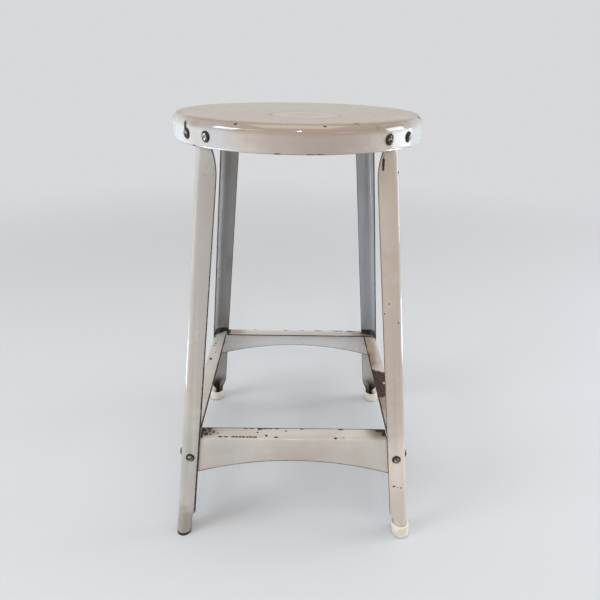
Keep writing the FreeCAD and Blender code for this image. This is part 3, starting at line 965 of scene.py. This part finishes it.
# %% Tints
tan = (0.46, 0.37, 0.27)
brown = (0.27, 0.175, 0.105)
cool = (0.60, 0.61, 0.625)
tints = {
    "seat": [
        (10, -144, 510, 115, 60, 30, (0.37, 0.275, 0.226), 0.65),
        # The pale blue-grey tints at the left and right ends of the skirt, at -130 and 128 mm, are
        # painted reflection of a bluish wall.
        (-130, -65, 508, 55, 60, 24, (0.585, 0.625, 0.64), 0.75),
        (-84, -116, 508, 38, 40, 22, (0.38, 0.385, 0.41), 0.65),
        (128, -70, 508, 50, 56, 24, (0.62, 0.66, 0.68), 0.7),
        (-118, -40.5, 525.4, 10, 3.5, 3, brown, 0.6), (-108.5, -50.5, 525.3, 6, 5, 3, brown, 0.6),
        (70, 118, 525.6, 28, 7, 3, brown, 0.6), (76, -120, 522, 3.5, 3, 4, brown, 0.8),
        (108, -86, 525, 8, 5, 3, brown, 0.7)],
    "front_stretcher": [
        (114, -122, top, 29, 19, 6, (0.080, 0.056, 0.034), 1.0),
        (108, -126, top, 26, 14, 5, brown, 0.5),
        (72, -127, top, 34, 14, 5, (0.70, 0.625, 0.54), 0.8),
        (5, -127, top, 60, 14, 5, (0.64, 0.58, 0.52), 0.5), (-112, -126, top, 26, 16, 5, tan, 0.7),
        (-113, -125, top, 18, 13, 5, (0.15, 0.11, 0.07), 0.8),
        (-66, -131, top, 40, 12, 5, tan, 0.35),
        (10, -136, 130, 80, 10, 40, (0.455, 0.39, 0.345), 0.65),
        (-85, -136, 130, 50, 10, 40, (0.44, 0.435, 0.41), 0.75),
        # The cool tint at the right end of the web is painted reflection of a bluish wall.
        (112, -136, 132, 26, 10, 30, cool, 0.5)],
    "right_stretcher": [
        (124, 80, top, 14, 90, 6, (0.40, 0.275, 0.155), 0.8),
        (122, 50, top, 9, 30, 4, brown, 0.55), (124, -62, top, 14, 44, 6, brown, 0.75)],
    # The cool tints on the rear legs are painted reflection of a bluish wall.
    "rear_left_leg": [(-128, 128, 320, 60, 60, 330, (0.66, 0.685, 0.72), 0.65)],
    "rear_right_leg": [(128, 128, 320, 60, 60, 330, cool, 0.6)],
    "left_stretcher": [
        (-128, 110, top, 20, 44, 6, (0.48, 0.485, 0.42), 0.7),
        (-126, -52, top, 6, 14, 3, tan, 0.5)],
    "rear_stretcher": [
        # The pale tint over the web is painted light, which makes up for the shade under the seat.
        (0, 138, 128, 200, 12, 90, (0.77, 0.76, 0.765), 1.0),
        (0, 127, 155, 190, 13, 3.5, (0.54, 0.505, 0.42), 0.8),
        (-104, 128, top, 26, 16, 4, brown, 0.7), (112, 126, top, 26, 16, 4, brown, 0.7)],
    "front_right_leg": [
        (115, -150, 310, 120, 60, 250, (0.485, 0.380, 0.310), 0.9),
        (100, -112, 450, 60, 60, 130, (0.46, 0.345, 0.275), 0.5),
        # The pale tint low down is painted light, as if the floor lit the leg from below.
        (140, -150, 60, 60, 40, 150, (0.81, 0.695, 0.61), 0.95),
        (143, -150, 44, 60, 60, 84, (0.56, 0.485, 0.415), 0.75)],
    "front_left_leg": [
        (-110, -125, 440, 120, 90, 330, (0.43, 0.395, 0.365), 0.85),
        (-92, -105, 460, 50, 50, 70, (0.395, 0.362, 0.328), 0.6),
        (-136, -138, 115, 50, 50, 110, (0.425, 0.415, 0.380), 0.75),
        (-142, -158, 30, 5, 8, 26, (0.30, 0.25, 0.19), 0.7),
        (-146, -146, 8, 40, 40, 60, (0.30, 0.272, 0.215), 0.9)]}
print("tints", sum(len(spots) for spots in tints.values()))

# %% Inner faces, edge wear, brownness of the rust and bare strips
# The tones of the inner faces are painted shade; the bluish tone of the rear right leg is painted
# reflection of a bluish wall too.
plain_inner_face = ((0.30, 0.29, 0.27, 1), 0.3, 0.3, 0.52)
inner_faces = {"rear_left_leg": ((0.150, 0.145, 0.140, 1), 0.0, 0.76, 0.47),
               "rear_right_leg": ((0.235, 0.27, 0.32, 1), 0.2, 0.65, 0.15)}
edge_wears = {"seat": 0.45, "rear_stretcher": 0.95, "right_stretcher": 1.0,
              "left_stretcher": 1.0, "front_left_leg": 1.0, "front_stretcher": 0.75}
brownness = {"right_stretcher": 0.8}
strips = {side + "_stretcher": (width * mm, "MAXIMUM", 0.0, 118.3 * mm)
          for side, width in (("front", 1.0), ("right", 1.8), ("rear", 1.4), ("left", 1.8))}
strips["front_left_leg"] = (0.5 * mm, "MINIMUM", 0.1119, 135.1 * mm)
print("strips", len(strips))

# %% [markdown]
# ### The whole enamel
# Under all of it lies clean paint, with a warmer cloud in it. Rust covers what the masks call bare,
# dulls its gloss and sinks it a little. Two ripples, one wide and one fine, give the sprayed skin.

# %% Build the enamel
enamel_specular = 0.75
bare_roughness = 0.9
usual_wear = 0.55
usual_brownness = 0.35


def enamel(node):
    """The worn enamel of one piece: dirt, tints, painted shade, rust, kept paint and bare edges."""
    material, tree, shader = new_material(node + "_enamel")
    place = add(tree, "TexCoord", output="Object")
    normal = add(tree, "NewGeometry", output="Normal")
    sheared = add(tree, "Attribute", output="Fac", attribute_name="sheared")
    coarse, middle, fine = noise(place, 14), noise(place, 90), noise(place, 420, 3)
    ragged = waver(fine, 2.0)
    wear = edge_wears.get(node, usual_wear)
    kept = 0.35 + 0.4 * wear

    colour = blend(rise(coarse, 0.40, 0.68), enamel_clean, enamel_warm)
    gloss = ramp(middle, 0.3, 0.7, 0.05, 0.10)
    if node == "seat":
        colour, dirt = seat_dirt(place, normal, colour, coarse, middle)
        gloss = plus(gloss, times(dirt, 0.22))
    colour = lay_tints(colour, place, middle, tints.get(node, ()))
    if node.endswith("leg"):
        inside = inner_faces.get(node, plain_inner_face)
        colour = shade_inside(colour, place, normal, middle, inside)
    colour = lay_crevice_shadow_and_specks(tree, colour, place, middle)

    bare = bare_edges(tree, normal, middle, fine, sheared, wear, kept)
    if node in strips:
        bare = maths("MAXIMUM", bare, bare_line(place, middle, fine, kept, strips[node]))
    if node in rust_and_corner_shadow_marks:
        bare = maths("MAXIMUM", bare, marks_mask(tree, place, ragged, rust_and_corner_shadow_marks[node]))
    if node in paint_in_rust:
        bare = maths("SUBTRACT", bare, marks_mask(tree, place, ragged, paint_in_rust[node]))
        bare = maths("MAXIMUM", bare, 0.0)
    colour = blend(times(sheared, 0.5), colour, grime_brown)
    brown_share = times(rise(fine, 0.42, 0.66), brownness.get(node, usual_brownness))
    colour = blend(bare, colour, blend(brown_share, rust_dark, rust_brown))

    shader.inputs["Specular IOR Level"].default_value = enamel_specular
    gloss = maths("MAXIMUM", gloss, times(bare, bare_roughness))
    ripple = bump(noise(place, 45, 1, 0.5), 1.0, 0.4 * mm)
    ripple = bump(noise(place, 230, 2, 0.5), 0.05, 1 * mm, Normal=ripple)
    chips = maths("SUBTRACT", times(fine, 0.3), bare)
    chips = bump(chips, 0.5, 0.15 * mm, Normal=ripple)
    wire(shader, {"Base Color": colour, "Roughness": gloss, "Normal": chips})
    return material


# %% Paint the seat, legs and footrests
for node, piece in [("seat", seat)] + list(sheets.items()):
    dress(piece, enamel(node))
print("painted", 1 + len(sheets), "pieces")

# %% [markdown]
# ## Steel of the screws and nuts
# The screw heads were never painted. Hands and screwdrivers kept the top of each dome bright,
# while the slot and the foot of the head went nearly black. The attribute that each point
# carries gives the distance from the screw's own axis, which the dark follows, and a low specular
# level keeps it from greying in the light. The nuts inside are duller, with a bloom of rust.

# %% Screw steel
dome_fall = 0.397
steel_black, steel_brown = (0.010, 0.008, 0.006, 1), (0.040, 0.029, 0.020, 1)
steel_rubbed, slot_black = (0.51, 0.465, 0.39, 1), (0.012, 0.009, 0.008, 1)
screw_steel, tree, shader = new_material("screw_steel_aged")
on_screw = add(tree, "Attribute", output="Vector", attribute_name="on_screw")
place = add(tree, "TexCoord", output="Object")
reach = vectors("LENGTH", vectors("MULTIPLY", on_screw, (1, 1, 0)))
grain = noise(place, 700)
patches = noise(place, 260, 3)
dome_height = plus(axis(on_screw, "Z"), times(reach, reach, dome_fall))
in_slot = rise(dome_height, 0.470, 0.440)
rubbed = times(rise(reach, 0.78, 0.45), rise(patches, 0.42, 0.56), maths("SUBTRACT", 1.0, in_slot))
shader.inputs["Specular IOR Level"].default_value = 0.25
colour = blend(rise(grain, 0.4, 0.65), steel_black, steel_brown)
colour = blend(in_slot, blend(rubbed, colour, steel_rubbed), slot_black)
wire(shader, {"Base Color": colour, "Metallic": times(rubbed, 0.9),
              "Roughness": ramp(rubbed, 0, 1, 0.60, 0.26),
              "Normal": bump(grain, 0.5, 0.12 * mm)})
for pair in screws:
    dress(pair, screw_steel)
print("screw pairs", len(screws))

# %% Nut steel
plating_dull, plating_pale = (0.24, 0.23, 0.21, 1), (0.36, 0.345, 0.32, 1)
nut_rust = (0.085, 0.045, 0.025, 1)
nut_steel, tree, shader = new_material("nut_steel_dull")
place = add(tree, "TexCoord", output="Object")
bloom = noise(place, 330, 4, 0.62)
grain = noise(place, 1500, 2, 0.5)
rusted = rise(bloom, 0.50, 0.62)
colour = blend(grain, plating_dull, plating_pale)
colour = blend(rusted, colour, nut_rust)
wire(shader, {"Base Color": colour, "Metallic": maths("SUBTRACT", 0.9, times(rusted, 0.85)),
              "Roughness": ramp(rusted, 0, 1, 0.42, 0.8), "Normal": bump(bloom, 0.4, 0.1 * mm)})
nut_nodes = [name for name in nodes if name.endswith("_nuts")]
for name in nut_nodes:
    dress(nodes[name], nut_steel)
print("nut nodes", len(nut_nodes))

# %% [markdown]
# ## Yellowed caps
# Old moulded caps turn from white to ivory, deeper where the light reached. Their gloss is soft,
# the heel is scuffed grey by the floor, and the lip where the tube enters is darkened with grime
# and painted shade.

# %% Cap plastic
cap_white, cap_ivory = (0.800, 0.765, 0.665, 1), (0.740, 0.660, 0.530, 1)
cap_scuff, cap_lip_shadow_and_grime = (0.20, 0.19, 0.17, 1), (0.16, 0.12, 0.08, 1)
cap_plastic, tree, shader = new_material("cap_plastic_ivory")
place = add(tree, "TexCoord", output="Object")
height = axis(place, "Z")
cloud = noise(place, 70, 3, 0.55)
fine = noise(place, 600, 3)
colour = blend(rise(cloud, 0.40, 0.62), cap_white, cap_ivory)
scuffed = times(rise(height, 3.5 * mm, 0.3 * mm), rise(fine, 0.35, 0.6), 0.6)
colour = blend(scuffed, colour, cap_scuff)
# Darkening where the tube enters the cap: painted shade, with grime.
seam = add(tree, "AmbientOcclusion", {"Distance": 3 * mm}, output="AO", samples=6)
colour = blend(times(rise(seam, 0.6, 0.3), 0.8), colour, cap_lip_shadow_and_grime)
wire(shader, {"Base Color": colour, "Roughness": ramp(cloud, 0, 1, 0.30, 0.50),
              "Normal": bump(fine, 0.15, 0.1 * mm)})
for cap in caps:
    dress(cap, cap_plastic)
print("caps", len(caps))
